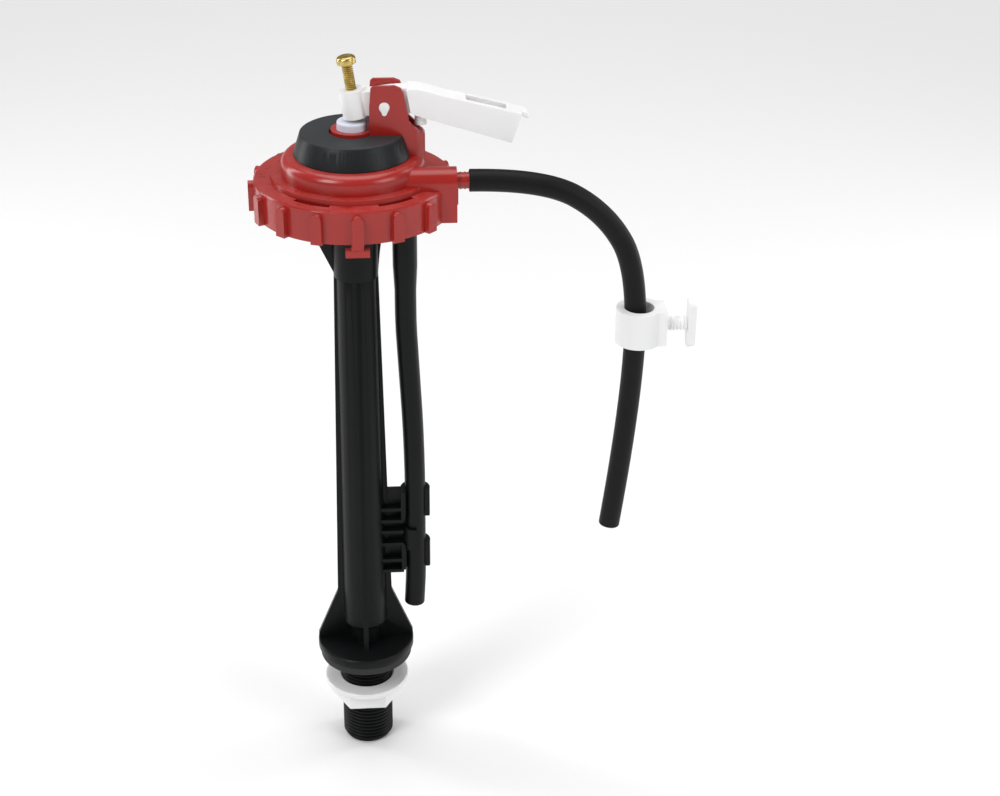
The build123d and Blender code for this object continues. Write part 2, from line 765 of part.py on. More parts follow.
# Cap: skirt, shelf, dome, collar, clevis, post, refill nipple, tab, ribs and bayonet lugs
with BuildPart() as cap:
    with BuildSketch(Plane.XZ):
        with BuildLine():
            Polyline(
                (0, skirt_bottom),
                (skirt_radius, skirt_bottom),
                (skirt_radius, cap_top - rim_chamfer),
                (skirt_radius - rim_chamfer, cap_top),
                (shelf_radius + shelf_draft, cap_top),
                (shelf_radius, cap_top + shelf_height),
                (bulge_radius, cap_top + shelf_height),
                (bulge_radius, deck_top - bulge_round),
            )
            RadiusArc(
                (bulge_radius, deck_top - bulge_round),
                (bulge_radius - bulge_round, deck_top),
                -bulge_round,
            )
            Polyline(
                (bulge_radius - bulge_round, deck_top),
                (collar_radius, deck_top),
                (collar_radius, collar_top),
                (0, collar_top),
                (0, skirt_bottom),
            )
        make_face()
    revolve(axis=Axis.Z)
    # Ribs round the skirt, with rounded tops
    for step in range(rib_count):
        turn = rib_turn + step * 360 / rib_count - 90
        outward = Vector(cos(radians(turn)), sin(radians(turn)), 0)
        along = Vector(-outward.Y, outward.X, 0)
        foot = outward * (skirt_radius - sink) + Vector(0, 0, skirt_bottom)
        with BuildSketch(Plane(origin=foot, x_dir=along, z_dir=outward)):
            straight = skirt_height - rib_top_drop - rib_width / 2
            with Locations((0, straight / 2)):
                Rectangle(rib_width, straight)
            with Locations((0, straight)):
                Circle(rib_width / 2)
        extrude(amount=rib_radius - skirt_radius + sink)
    # Housing of the refill nipple
    with BuildSketch(Plane.YZ):
        with Locations((nipple_y, nipple_z)):
            Circle(housing_radius)
        with Locations((nipple_y, (nipple_z + skirt_bottom) / 2)):
            Rectangle(2 * housing_radius, nipple_z - skirt_bottom)
    extrude(amount=nipple_root_x)
    with BuildSketch(Plane.XY.offset(skirt_bottom)):
        with Locations((tab_x, -skirt_radius)):
            Rectangle(tab_stem_width, 2 * (rib_radius - skirt_radius))
    extrude(amount=-tab_drop + sink)
    with BuildSketch(Plane.XY.offset(skirt_bottom - tab_drop)):
        with Locations((tab_x, -rib_radius + tab_depth / 2 - tab_inset)):
            Rectangle(tab_width, tab_depth)
    extrude(amount=tab_thickness)
    # Clevis ears and the post behind them
    with BuildSketch(Plane.XZ.offset(-clevis_half_width)):
        with BuildLine():
            Polyline(
                (ear_foot_left, deck_top - sink),
                *[(x, pivot_z + rise) for x, rise in ear_corners],
                (ear_foot_right, deck_top + ear_foot_rise),
                (ear_foot_right, deck_top - sink),
                close=True,
            )
        make_face()
    extrude(amount=2 * clevis_half_width)
    with BuildSketch(Plane.XY.offset(cap_top)):
        with BuildLine():
            Polyline(
                (post_left, -clevis_half_width),
                (post_x - post_bevel, -clevis_half_width),
                (post_x, -clevis_half_width + post_bevel),
                (post_x, clevis_half_width - post_bevel),
                (post_x - post_bevel, clevis_half_width),
                (post_left, clevis_half_width),
                close=True,
            )
        make_face()
    extrude(amount=post_top_left - cap_top)
    with BuildSketch(Plane.XZ.offset(-clevis_half_width - sink)):
        with BuildLine():
            Polyline(
                (post_slope_left, post_top_left + post_margin),
                (post_x + post_margin, post_top_right),
                (post_x + post_margin, post_top_left + post_margin),
                close=True,
            )
        make_face()
    extrude(amount=2 * (clevis_half_width + sink), mode=Mode.SUBTRACT)
    # Gap for the lever's tongue between the ears
    with BuildSketch(Plane.XY.offset(collar_top)):
        with Locations((post_left, 0)):
            Rectangle(2 * post_left, 2 * ear_inner)
    extrude(amount=ear_top - collar_top, mode=Mode.SUBTRACT)
    # Pocket in the post, whose floor the lever's stub comes down on
    with BuildSketch(Plane.XY.offset(post_stop_top)):
        with Locations((post_left + post_x / 2, 0)):
            Rectangle(post_x, 2 * ear_inner)
    extrude(amount=post_top_left - post_stop_top, mode=Mode.SUBTRACT)
    with BuildSketch(Plane.XZ.offset(-clevis_half_width - sink)):
        with Locations((pivot_x, pivot_z)):
            Circle(pin_radius + running_clearance / 2)
        with BuildLine():
            Polyline(*hole_tail_corners, close=True)
        make_face()
        with Locations((pivot_x, hole_tail_z)):
            Circle(hole_tail_radius)
    extrude(amount=2 * (clevis_half_width + sink), mode=Mode.SUBTRACT)
    # Hollow inside: skirt, chamber and the dome over it
    with BuildSketch(Plane.XZ):
        with BuildLine():
            Polyline(
                (0, skirt_bottom),
                (skirt_inner_radius, skirt_bottom),
                (skirt_inner_radius, cap_underside),
                (bulge_inner_radius, cap_underside),
                (bulge_inner_radius, deck_underside - bulge_wall),
            )
            RadiusArc(
                (bulge_inner_radius, deck_underside - bulge_wall),
                (bulge_inner_radius - bulge_wall, deck_underside),
                -bulge_wall,
            )
            Polyline(
                (bulge_inner_radius - bulge_wall, deck_underside),
                (0, deck_underside),
                (0, skirt_bottom),
            )
        make_face()
    revolve(axis=Axis.Z, mode=Mode.SUBTRACT)
    # Ring that holds the diaphragm's rim down, and the plunger's guide
    with BuildSketch(Plane.XY.offset(clamp_ring_bottom)):
        Circle(ring_radius)
        Circle(ring_radius - ring_wall, mode=Mode.SUBTRACT)
    extrude(amount=deck_underside - clamp_ring_bottom + sink / 2)
    with BuildSketch(Plane.XY.offset(guide_bottom)):
        Circle(collar_radius)
    extrude(amount=deck_underside - guide_bottom + sink / 2)
    with BuildSketch(Plane.XY.offset(guide_bottom)):
        Circle(plunger_bore_radius)
    extrude(amount=collar_top - guide_bottom, mode=Mode.SUBTRACT)
    # Vents under the splash cover, and slots beside the shelf
    with BuildSketch(Plane.XY.offset(deck_underside)):
        with PolarLocations(vent_circle, vent_count, vent_start, vent_sweep, endpoint=True):
            Circle(vent_radius)
    extrude(amount=cap_thickness, mode=Mode.SUBTRACT)
    with BuildSketch(Plane.XY.offset(cap_underside)):
        for turn in (-90 - slot_turn, -90 + slot_turn, 90 - slot_turn, 90 + slot_turn):
            with PolarLocations(0, 1, start_angle=turn):
                add(ring_sector(slot_radius - slot_width / 2, slot_radius + slot_width / 2, slot_sweep))
    extrude(amount=cap_thickness, mode=Mode.SUBTRACT)
    # Bayonet lugs under the bowl's lugs
    with BuildSketch(Plane.XY.offset(cap_lug_top)):
        with PolarLocations(0, lug_count):
            add(ring_sector(skirt_inner_radius - lug_depth, skirt_inner_radius + sink / 2, lug_angle))
    extrude(amount=-lug_height)
    # Refill nipple with ridges and a barb, and its bore into the chamber
    with BuildSketch(Plane.XY.offset(nipple_z)):
        with BuildLine():
            Polyline(
                (nipple_root_x - sink, nipple_y),
                (nipple_root_x - sink, nipple_y + nipple_radius),
                (barb_x, nipple_y + nipple_radius),
                (barb_x, nipple_y + barb_radius),
                (nipple_tip_x, nipple_y + nipple_tip_radius),
                (nipple_tip_x, nipple_y),
                close=True,
            )
        make_face()
    revolve(axis=Axis((0, nipple_y, nipple_z), (1, 0, 0)))
    for step in range(nipple_ridge_count):
        with BuildSketch(Plane.YZ.offset(nipple_root_x + nipple_ridge_start + step * nipple_ridge_pitch)):
            with Locations((nipple_y, nipple_z)):
                Circle(nipple_radius + nipple_ridge)
        extrude(amount=nipple_ridge_width)
    with BuildSketch(Plane.YZ.offset(bulge_inner_radius - nipple_bore_run_in)):
        with Locations((nipple_y, nipple_z)):
            Circle(nipple_bore_radius)
    extrude(amount=nipple_tip_x - bulge_inner_radius + nipple_bore_run_in, mode=Mode.SUBTRACT)
cap.part.label = "cap"
export_step(cap.part, "parts/cap.step")

# Rubber flap ring under the vents
with BuildPart() as vent_flap:
    with BuildSketch(Plane.XY.offset(deck_underside - flap_gap - flap_thickness)):
        Circle(bulge_inner_radius - bulge_wall - flap_gap)
        Circle(ring_radius + running_clearance, mode=Mode.SUBTRACT)
    extrude(amount=flap_thickness)
vent_flap.part.label = "vent_flap"
export_step(vent_flap.part, "parts/vent_flap.step")

# Splash cover: a hollow cone, open towards the clevis
with BuildPart() as splash_cover:
    with BuildSketch(Plane.XZ):
        with BuildLine():
            Polyline(
                (cover_bottom_radius, deck_top),
                (cover_top_radius + cover_edge / 4, cover_top - cover_edge),
                (cover_top_radius - cover_edge, cover_top),
                (collar_radius + body_gap, cover_top),
                (collar_radius + body_gap, cover_top - cover_wall),
                (cover_top_radius - cover_wall, cover_top - cover_wall),
                (cover_bottom_radius - cover_wall, deck_top),
                close=True,
            )
        make_face()
    revolve(axis=Axis.Z)
    with BuildSketch(Plane.XY.offset(deck_top)):
        with Locations((cover_bottom_radius, 0)):
            Rectangle(2 * cover_bottom_radius, 2 * cover_notch)
    extrude(amount=cover_height, mode=Mode.SUBTRACT)
splash_cover.part.label = "splash_cover"
export_step(splash_cover.part, "parts/splash_cover.step")

# Lever: boss, tongue between the ears and a paddle that is an upturned channel
tilt = radians(boss_tilt)
screw_up = Vector(-sin(tilt), 0, cos(tilt))
boss_top = Vector(boss_top_x, 0, boss_top_z)
boss_bottom = boss_top - screw_up * boss_height
hollow_roof = [(x, rise - lever_wall) for x, rise in paddle_top[2:-1]]
hollow_end = (paddle_top[-1][0] + sink, paddle_top[-1][1] - lever_wall - sink / 4)
at_pin = Plane(origin=(0, 0, pivot_z), x_dir=(1, 0, 0), z_dir=(0, -1, 0))
with BuildPart() as lever:
    with BuildSketch(at_pin.offset(-lever_half_width)):
        with BuildLine():
            Polyline(*paddle_top, *paddle_low, close=True)
        make_face()
    extrude(amount=2 * lever_half_width)
    fillet(lever.edges().filter_by(Axis.Y).group_by(Axis.Z)[-1], radius=lever_shoulder)
    with BuildSketch(at_pin.offset(-lever_half_width + lever_wall)):
        with BuildLine():
            Polyline(
                (paddle_hollow_x, paddle_low[0][1]),
                (paddle_hollow_x, paddle_top[1][1] - lever_wall),
                *hollow_roof,
                hollow_end,
                (hollow_end[0], paddle_hollow_low),
                (paddle_hollow_corner, paddle_hollow_low),
                close=True,
            )
        make_face()
    extrude(amount=2 * (lever_half_width - lever_wall), mode=Mode.SUBTRACT)
    # Lip at the paddle's end
    with BuildSketch(at_pin.offset(-lever_half_width)):
        with BuildLine():
            Polyline(*lip_outline, close=True)
        make_face()
    extrude(amount=lever_half_width + lip_back_y)
    # Slot in the paddle's top
    with BuildSketch(Plane.XY.offset(pivot_z + paddle_low[1][1])):
        with Locations(((slot_start_x + slot_end_x) / 2, (slot_front_y + slot_back_y) / 2)):
            Rectangle(slot_end_x - slot_start_x, slot_back_y - slot_front_y)
    extrude(amount=paddle_top[0][1] - paddle_low[1][1], mode=Mode.SUBTRACT)
    # Stub that stops on the post
    with BuildSketch(Plane.XY.offset(stub_bottom)):
        with Locations((stub_x, 0)):
            Circle(stub_radius)
    extrude(amount=stub_length)
    with BuildSketch(at_pin.offset(-lever_tongue_half_width)):
        with BuildLine():
            Polyline(*tongue_low, *tongue_top, close=True)
        make_face()
    extrude(amount=2 * lever_tongue_half_width)
    with BuildSketch(Plane(origin=boss_bottom, x_dir=(0, 1, 0), z_dir=screw_up)):
        Circle(boss_radius)
    extrude(amount=boss_height)
    with BuildSketch(Plane(origin=boss_bottom, x_dir=(0, 1, 0), z_dir=screw_up)):
        Circle(screw_radius + running_clearance)
    extrude(amount=boss_height, mode=Mode.SUBTRACT)
    with BuildSketch(Plane.XZ.offset(-lever_half_width)):
        with Locations((pivot_x, pivot_z)):
            Circle(pin_radius + running_clearance)
    extrude(amount=2 * lever_half_width, mode=Mode.SUBTRACT)
lever.part.label = "lever"
export_step(lever.part, "parts/lever.step")

# Pin through the ears and the lever's tongue
with BuildPart() as lever_pin:
    with BuildSketch(Plane.XZ.offset(-clevis_half_width - pin_proud)):
        with Locations((pivot_x, pivot_z)):
            Circle(pin_radius)
    extrude(amount=2 * (clevis_half_width + pin_proud))
    chamfer(lever_pin.edges().filter_by(GeomType.CIRCLE), length=pin_end_chamfer)
    # Key that fills the tail of the front ear's hole, so the pin can't turn
    with BuildSketch(Plane.XZ.offset(ear_inner)):
        with BuildLine():
            Polyline(*hole_tail_corners, close=True)
        make_face()
        with Locations((pivot_x, hole_tail_z)):
            Circle(hole_tail_radius)
        offset(amount=-running_clearance)
    extrude(amount=clevis_half_width - ear_inner)
lever_pin.part.label = "lever_pin"
export_step(lever_pin.part, "parts/lever_pin.step")

# Brass screw that sets the float's level
with BuildPart() as adjusting_screw:
    shank_start = boss_bottom - screw_up * screw_tip
    shank_run = screw_tip + boss_height + screw_exposed
    with BuildSketch(Plane(origin=shank_start, x_dir=(0, 1, 0), z_dir=screw_up)):
        Circle(screw_radius)
    extrude(amount=shank_run)
    chamfer(adjusting_screw.edges().group_by(Axis.Z)[0], length=screw_tip_chamfer)
    head_base = boss_top + screw_up * screw_exposed
    with BuildSketch(Plane(origin=head_base, x_dir=(0, 1, 0), z_dir=screw_up)):
        Circle(screw_head_radius)
    extrude(amount=screw_head_height)
    fillet(adjusting_screw.edges().filter_by(GeomType.CIRCLE).group_by(Axis.Z)[-1], radius=screw_head_round)
    head_top = head_base + screw_up * (screw_head_height - screw_slot_depth)
    with BuildSketch(Plane(origin=head_top, x_dir=(0, 1, 0), z_dir=screw_up)):
        Rectangle(3 * screw_head_radius, screw_slot_width, rotation=screw_slot_turn)
    extrude(amount=2 * screw_slot_depth, mode=Mode.SUBTRACT)
adjusting_screw.part.label = "adjusting_screw"
export_step(adjusting_screw.part, "parts/adjusting_screw.step")

# Hush tube: widened over the spigot, then down to the clip and a little past it
hush_points = [Vector(x, 0, z) for x, z in hush_route]
hush_radii = bend_radii(hush_route)
print("hush tube bend radii:", [round(radius) for radius in hush_radii])
with BuildPart() as hush_tube:
    with BuildLine():
        FilletPolyline(*hush_points, radius=hush_radii)
    with BuildSketch(Plane(origin=hush_points[0], z_dir=(0, 0, -1))):
        Circle(hush_radius)
        Circle(hush_bore_radius, mode=Mode.SUBTRACT)
    sweep()
    with BuildSketch(Plane.XZ):
        with BuildLine():
            Polyline(
                (spigot_x + hush_bore_radius, hush_cone_bottom),
                (spigot_x + hush_radius, hush_cone_bottom),
                (spigot_x + hush_flare_radius, hush_flare_bottom),
                (spigot_x + hush_flare_radius, hush_top),
                (spigot_x + spigot_radius + running_clearance, hush_top),
                (spigot_x + spigot_radius + running_clearance, hush_flare_bottom),
                close=True,
            )
        make_face()
    revolve(axis=Axis((spigot_x, 0, 0), (0, 0, 1)))
hush_tube.part.label = "hush_tube"
export_step(hush_tube.part, "parts/hush_tube.step")

# Refill tube: pushed over the nipple, bending down and hanging free
refill_points = [Vector(x, nipple_y, z) for x, z in refill_route]
refill_radii = bend_radii([(point.X, point.Y, point.Z) for point in refill_points])
print("refill tube bend radii:", [round(radius, 1) for radius in refill_radii])
with BuildPart() as refill_tube:
    with BuildLine() as refill_path:
        FilletPolyline(*refill_points, radius=refill_radii)
    with BuildSketch(Plane(origin=refill_points[0], z_dir=(1, 0, 0))):
        Circle(refill_radius)
        Circle(refill_bore_radius, mode=Mode.SUBTRACT)
    sweep()
refill_length = sum(edge.length for edge in refill_path.edges())
print("refill tube length:", round(refill_length, 1))
refill_section = pi * (refill_radius**2 - refill_bore_radius**2)
print("refill tube volume:", round(refill_tube.part.volume), "section x length:", round(refill_section * refill_length))
refill_tube.part.label = "refill_tube"
export_step(refill_tube.part, "parts/refill_tube.step")

# Clamp ring on the refill tube, with a flat pad for the thumb screw
with BuildPart() as refill_clamp:
    with BuildSketch(Plane.XY.offset(clamp_z - clamp_height / 2)):
        with Locations((clamp_axis_x, nipple_y)):
            Circle(clamp_radius)
        with Locations((clamp_axis_x + clamp_pad_reach / 2, nipple_y)):
            Rectangle(clamp_pad_reach, clamp_pad_width)
        with Locations((clamp_axis_x, nipple_y)):
            Circle(clamp_bore_radius, mode=Mode.SUBTRACT)
    extrude(amount=clamp_height)
    with BuildSketch(Plane.YZ.offset(clamp_axis_x)):
        with Locations((nipple_y, clamp_z)):
            Circle(thumb_radius + running_clearance)
    extrude(amount=clamp_pad_reach + sink, mode=Mode.SUBTRACT)
refill_clamp.part.label = "refill_clamp"
export_step(refill_clamp.part, "parts/refill_clamp.step")

# Thumb screw with a flat bar for a handle
thumb_tip_x = refill_route[3][0] + refill_radius + sealing_gap
thumb_end_x = clamp_axis_x + clamp_pad_reach + thumb_exposed
with BuildPart() as thumb_screw:
    with BuildSketch(Plane.YZ.offset(thumb_tip_x)):
        with Locations((nipple_y, clamp_z)):
            Circle(thumb_radius)
    extrude(amount=thumb_end_x - thumb_tip_x)
    with BuildSketch(Plane.YZ.offset(thumb_end_x)):
        with Locations(Location((nipple_y, clamp_z), 90)):
            SlotOverall(thumb_bar_length, thumb_bar_width)
    extrude(amount=thumb_bar_thickness)
    fillet(thumb_screw.faces().sort_by(Axis.X)[-1].edges(), radius=thumb_bar_round)
thumb_screw.part.label = "thumb_screw"
export_step(thumb_screw.part, "parts/thumb_screw.step")
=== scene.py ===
import json
from math import atan2, cos, radians, sin, tau

import bmesh
import bpy
from mathutils import Matrix, Vector


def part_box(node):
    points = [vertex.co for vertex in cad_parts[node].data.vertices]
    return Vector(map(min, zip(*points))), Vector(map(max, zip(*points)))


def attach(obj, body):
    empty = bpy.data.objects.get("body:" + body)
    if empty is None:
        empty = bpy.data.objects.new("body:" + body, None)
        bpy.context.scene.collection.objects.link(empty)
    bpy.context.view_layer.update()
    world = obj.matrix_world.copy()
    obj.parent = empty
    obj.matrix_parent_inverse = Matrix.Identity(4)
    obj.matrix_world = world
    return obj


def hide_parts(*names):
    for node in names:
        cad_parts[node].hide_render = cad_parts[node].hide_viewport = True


# The float valve's looks, in metres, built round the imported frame.
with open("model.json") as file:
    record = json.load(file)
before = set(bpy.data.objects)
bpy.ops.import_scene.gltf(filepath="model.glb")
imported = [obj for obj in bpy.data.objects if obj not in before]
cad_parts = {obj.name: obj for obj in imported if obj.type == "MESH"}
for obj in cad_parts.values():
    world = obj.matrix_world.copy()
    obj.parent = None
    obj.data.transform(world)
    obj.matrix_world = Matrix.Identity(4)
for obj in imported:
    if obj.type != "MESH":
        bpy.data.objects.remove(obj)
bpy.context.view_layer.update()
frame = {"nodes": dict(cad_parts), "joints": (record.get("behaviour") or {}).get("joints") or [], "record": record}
nodes = frame["nodes"]
joints = {joint["name"]: joint for joint in frame["joints"]}
mm = 0.001

weld_gap = 0.002 * mm
tiny_gap = 0.001 * mm
flat_angle = radians(0.5)
crisp_angle = 35.0


# --- Node graphs -----------------------------------------------------------------------------

class Number:
    """A socket that carries one number and takes Python's operators."""

    def __init__(self, graph, socket):
        self.graph = graph
        self.socket = socket

    def math(self, operation, *values):
        return self.graph.math(operation, *values)

    def __add__(self, other):
        return self.math("ADD", self, other)

    def __radd__(self, other):
        return self.math("ADD", other, self)

    def __sub__(self, other):
        return self.math("SUBTRACT", self, other)

    def __rsub__(self, other):
        return self.math("SUBTRACT", other, self)

    def __mul__(self, other):
        return self.math("MULTIPLY", self, other)

    def __rmul__(self, other):
        return self.math("MULTIPLY", other, self)

    def __truediv__(self, other):
        return self.math("DIVIDE", self, other)

    def __abs__(self):
        return self.math("ABSOLUTE", self)

    def floor(self):
        return self.math("FLOOR", self)

    def fraction(self):
        return self.math("FRACT", self)

    def sine(self):
        return self.math("SINE", self)

    def cosine(self):
        return self.math("COSINE", self)

    def at_least(self, low):
        return self.math("MAXIMUM", self, low)

    def at_most(self, high):
        return self.math("MINIMUM", self, high)

    def clamped(self):
        return self.at_least(0.0).at_most(1.0)

    def ramp(self, low, high):
        """0 below low, 1 above high, and a straight line between them."""
        return ((self - low) / (high - low)).clamped()


# A Mix node has sockets for each type of value. These are the places of the colours' sockets.
mix_factor, mix_first, mix_second, mix_result = 0, 6, 7, 2


class Graph:
    """A node tree, filled by one method that makes any node."""

    def __init__(self, tree):
        self.tree = tree

    def node(self, kind, settings=None, **sockets):
        made = self.tree.nodes.new(kind)
        for name, value in (settings or {}).items():
            setattr(made, name, value)
        for name, value in sockets.items():
            self.plug(made.inputs[name.replace("_", " ")], value)
        return made

    def plug(self, socket, value):
        source = value.socket if isinstance(value, Number) else value
        if isinstance(source, bpy.types.NodeSocket):
            self.tree.links.new(source, socket)
        else:
            socket.default_value = source

    def math(self, operation, *values):
        made = self.node("ShaderNodeMath", {"operation": operation})
        for place, value in enumerate(values):
            self.plug(made.inputs[place], value)
        return Number(self, made.outputs[0])

    def noise(self, where, scale, detail=2.0, roughness=0.5):
        made = self.node(
            "ShaderNodeTexNoise", Vector=where, Scale=scale, Detail=detail, Roughness=roughness
        )
        return Number(self, made.outputs["Fac"])

    def stretched(self, where, factors):
        return self.node("ShaderNodeMapping", Vector=where, Scale=factors).outputs["Vector"]

    def mixed(self, factor, first, second):
        made = self.node("ShaderNodeMix", {"data_type": "RGBA"})
        for place, value in ((mix_factor, factor), (mix_first, first), (mix_second, second)):
            self.plug(made.inputs[place], value)
        return made.outputs[mix_result]


def rgb(red, green, blue):
    return (red, green, blue, 1.0)


class Finish:
    """A material with its graph, its shader and the places that its patterns read."""

    def __init__(self, name):
        self.material = bpy.data.materials.new(name)
        self.material.use_nodes = True
        self.graph = Graph(self.material.node_tree)
        self.material.node_tree.nodes.clear()
        self.shader = self.graph.node("ShaderNodeBsdfPrincipled")
        self.graph.node("ShaderNodeOutputMaterial", Surface=self.shader.outputs[0])
        self.where = self.graph.node("ShaderNodeTexCoord").outputs["Object"]
        split = self.graph.node("ShaderNodeSeparateXYZ", Vector=self.where)
        self.x = Number(self.graph, split.outputs["X"])
        self.y = Number(self.graph, split.outputs["Y"])
        facing = self.graph.node("ShaderNodeNewGeometry")
        turned = self.graph.node("ShaderNodeSeparateXYZ", Vector=facing.outputs["Normal"])
        self.up = Number(self.graph, turned.outputs["Z"])

    def noise(self, scale, detail=2.0, roughness=0.5):
        return self.graph.noise(self.where, scale, detail, roughness)

    def streaks(self, factors, scale, detail=2.0):
        return self.graph.noise(self.graph.stretched(self.where, factors), scale, detail)

    def set(self, **values):
        for name, value in values.items():
            self.graph.plug(self.shader.inputs[name.replace("_", " ")], value)

    def bump(self, height, distance):
        made = self.graph.node("ShaderNodeBump", Strength=1.0, Distance=distance, Height=height)
        self.set(Normal=made.outputs["Normal"])


# --- Materials -------------------------------------------------------------------------------

def red_moulding():
    """Red moulded cap, with a slight pale painted sheen on its upward faces: a painted reflection of the light
    above.
    """
    finish = Finish("red_moulding")
    broad = finish.noise(55.0, 3.0)
    fine = finish.noise(900.0, 2.0)
    # Painted reflection: upward faces are mixed towards a pale red in mottled patches, standing in for the sheen
    # of the light above.
    painted_sheen = finish.up.ramp(0.75, 0.99) * finish.noise(160.0, 4.0, 0.6).ramp(0.3, 0.7)
    body = finish.graph.mixed(broad, rgb(0.28, 0.011, 0.008), rgb(0.38, 0.017, 0.012))
    colour = finish.graph.mixed(painted_sheen * 0.22, body, rgb(0.46, 0.15, 0.14))
    finish.set(Base_Color=colour, Roughness=0.2 + broad * 0.1 + painted_sheen * 0.16)
    finish.bump(fine * 0.6 + broad, 0.03 * mm)
    return finish.material


def black_moulding():
    """Black moulded plastic, satin, with faint flow marks down its length."""
    finish = Finish("black_moulding")
    flow = finish.streaks((60.0, 60.0, 6.0), 1.0, 3.0)
    patches = finish.noise(70.0, 3.0)
    dust = finish.noise(700.0, 3.0).ramp(0.6, 0.8)
    base = finish.graph.mixed(patches, rgb(0.0025, 0.003, 0.003), rgb(0.006, 0.0065, 0.007))
    finish.set(
        Base_Color=finish.graph.mixed(dust * 0.03, base, rgb(0.09, 0.09, 0.09)),
        Roughness=0.27 + flow * 0.12 + patches * 0.08,
        Specular_IOR_Level=0.15,
    )
    finish.bump(flow + finish.noise(1100.0, 2.0) * 0.4, 0.03 * mm)
    return finish.material


def black_cover():
    """Black cover with a slightly greyer, duller surface than the other mouldings, and its upward faces painted
    greyer still as a painted reflection of the light above.
    """
    finish = Finish("black_cover")
    patches = finish.noise(90.0, 3.0)
    grain = finish.noise(1600.0, 2.0)
    # Painted reflection: the upward faces are mixed towards grey, standing in for the light above that they
    # reflect.
    top = finish.up.ramp(0.5, 0.95)
    base = finish.graph.mixed(patches, rgb(0.008, 0.009, 0.010), rgb(0.018, 0.019, 0.021))
    finish.set(
        Base_Color=finish.graph.mixed(top * 0.35, base, rgb(0.07, 0.075, 0.08)),
        Roughness=0.3 + patches * 0.12 + top * 0.1,
        Specular_IOR_Level=0.15,
    )
    finish.bump(grain, 0.02 * mm)
    return finish.material


def black_rubber():
    """Matt rubber with a fine grain."""
    finish = Finish("black_rubber")
    grain = finish.noise(1400.0, 3.0)
    bloom = finish.noise(120.0, 3.0)
    finish.set(
        Base_Color=finish.graph.mixed(bloom, rgb(0.008, 0.008, 0.008), rgb(0.018, 0.018, 0.018)),
        Roughness=0.62 + grain * 0.15,
    )
    finish.bump(grain, 0.04 * mm)
    return finish.material


def black_hose():
    """Extruded black tube, dull, with fine lines along its length."""
    finish = Finish("black_hose")
    patches = finish.noise(80.0, 3.0)
    grain = finish.noise(1300.0, 2.0)
    finish.set(
        Base_Color=finish.graph.mixed(patches, rgb(0.004, 0.004, 0.004), rgb(0.009, 0.009, 0.009)),
        Roughness=0.42 + patches * 0.14,
        Specular_IOR_Level=0.15,
    )
    finish.bump(grain, 0.025 * mm)
    return finish.material


def white_moulding():
    """White moulded plastic that lets a little light through."""
    finish = Finish("white_moulding")
    patches = finish.noise(70.0, 3.0)
    grain = finish.noise(1000.0, 2.0)
    finish.set(
        Base_Color=finish.graph.mixed(patches, rgb(0.78, 0.78, 0.785), rgb(0.84, 0.84, 0.84)),
        Roughness=0.33 + patches * 0.12,
        Subsurface_Weight=0.12,
        Subsurface_Radius=(2.0 * mm, 2.0 * mm, 1.8 * mm),
        Subsurface_Scale=1.0,
    )
    finish.bump(grain, 0.02 * mm)
    return finish.material


def clear_moulding():
    """Unpigmented, slightly bluish plastic that light passes into."""
    finish = Finish("clear_moulding")
    patches = finish.noise(110.0, 3.0)
    finish.set(
        Base_Color=finish.graph.mixed(patches, rgb(0.62, 0.63, 0.72), rgb(0.70, 0.71, 0.79)),
        Roughness=0.3 + patches * 0.1,
        Subsurface_Weight=0.25,
        Subsurface_Radius=(2.0 * mm, 2.0 * mm, 2.2 * mm),
        Subsurface_Scale=1.0,
    )
    finish.bump(finish.noise(900.0, 2.0), 0.02 * mm)
    return finish.material


def natural_moulding():
    """Unpigmented plastic of the hidden fittings."""
    finish = Finish("natural_moulding")
    patches = finish.noise(110.0, 3.0)
    finish.set(
        Base_Color=finish.graph.mixed(patches, rgb(0.66, 0.65, 0.59), rgb(0.74, 0.73, 0.67)),
        Roughness=0.4 + patches * 0.1,
    )
    finish.bump(finish.noise(900.0, 2.0), 0.02 * mm)
    return finish.material


def turned_brass():
    """Brass with a little tarnish in blotches."""
    finish = Finish("turned_brass")
    tarnish = finish.noise(420.0, 4.0, 0.6).ramp(0.42, 0.72)
    scratches = finish.streaks((900.0, 900.0, 5000.0), 1.0)
    finish.set(
        Base_Color=finish.graph.mixed(tarnish, rgb(0.60, 0.46, 0.16), rgb(0.32, 0.23, 0.07)),
        Metallic=1.0,
        Roughness=0.24 + tarnish * 0.2 + scratches * 0.08,
    )
    finish.bump(scratches, 0.01 * mm)
    return finish.material


red = red_moulding()
black = black_moulding()
cover_black = black_cover()
rubber = black_rubber()
hose_black = black_hose()
white = white_moulding()
natural = natural_moulding()
clear = clear_moulding()
brass = turned_brass()


# --- Mesh helpers ----------------------------------------------------------------------------

def new_piece(name, mesh, material, body, slot, *stands_for):
    """A finished piece at the origin, on its body, in place of the CAD nodes that it stands for."""
    mesh.materials.clear()
    mesh.materials.append(material)
    piece = bpy.data.objects.new(name, mesh)
    bpy.context.scene.collection.objects.link(piece)
    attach(piece, body)
    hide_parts(*stands_for)
    return piece


def merged(node):
    """A welded copy of a CAD node's mesh, with its flat faces joined up."""
    work = bmesh.new()
    work.from_mesh(nodes[node].data)
    bmesh.ops.remove_doubles(work, verts=work.verts, dist=weld_gap)
    bmesh.ops.dissolve_limit(
        work, angle_limit=flat_angle, verts=work.verts, edges=work.edges, delimit={"NORMAL"}
    )
    return work


def mesh_from(work, name):
    mesh = bpy.data.meshes.new(name)
    work.to_mesh(mesh)
    work.free()
    return mesh


def cut(work, point, normal):
    """Keeps what lies behind a plane, and closes the cut."""
    everything = [*work.verts, *work.edges, *work.faces]
    made = bmesh.ops.bisect_plane(
        work, geom=everything, dist=tiny_gap, plane_co=point, plane_no=normal, clear_outer=True
    )
    rim = [item for item in made["geom_cut"] if isinstance(item, bmesh.types.BMEdge)]
    bmesh.ops.triangle_fill(work, use_beauty=True, edges=rim, normal=normal)


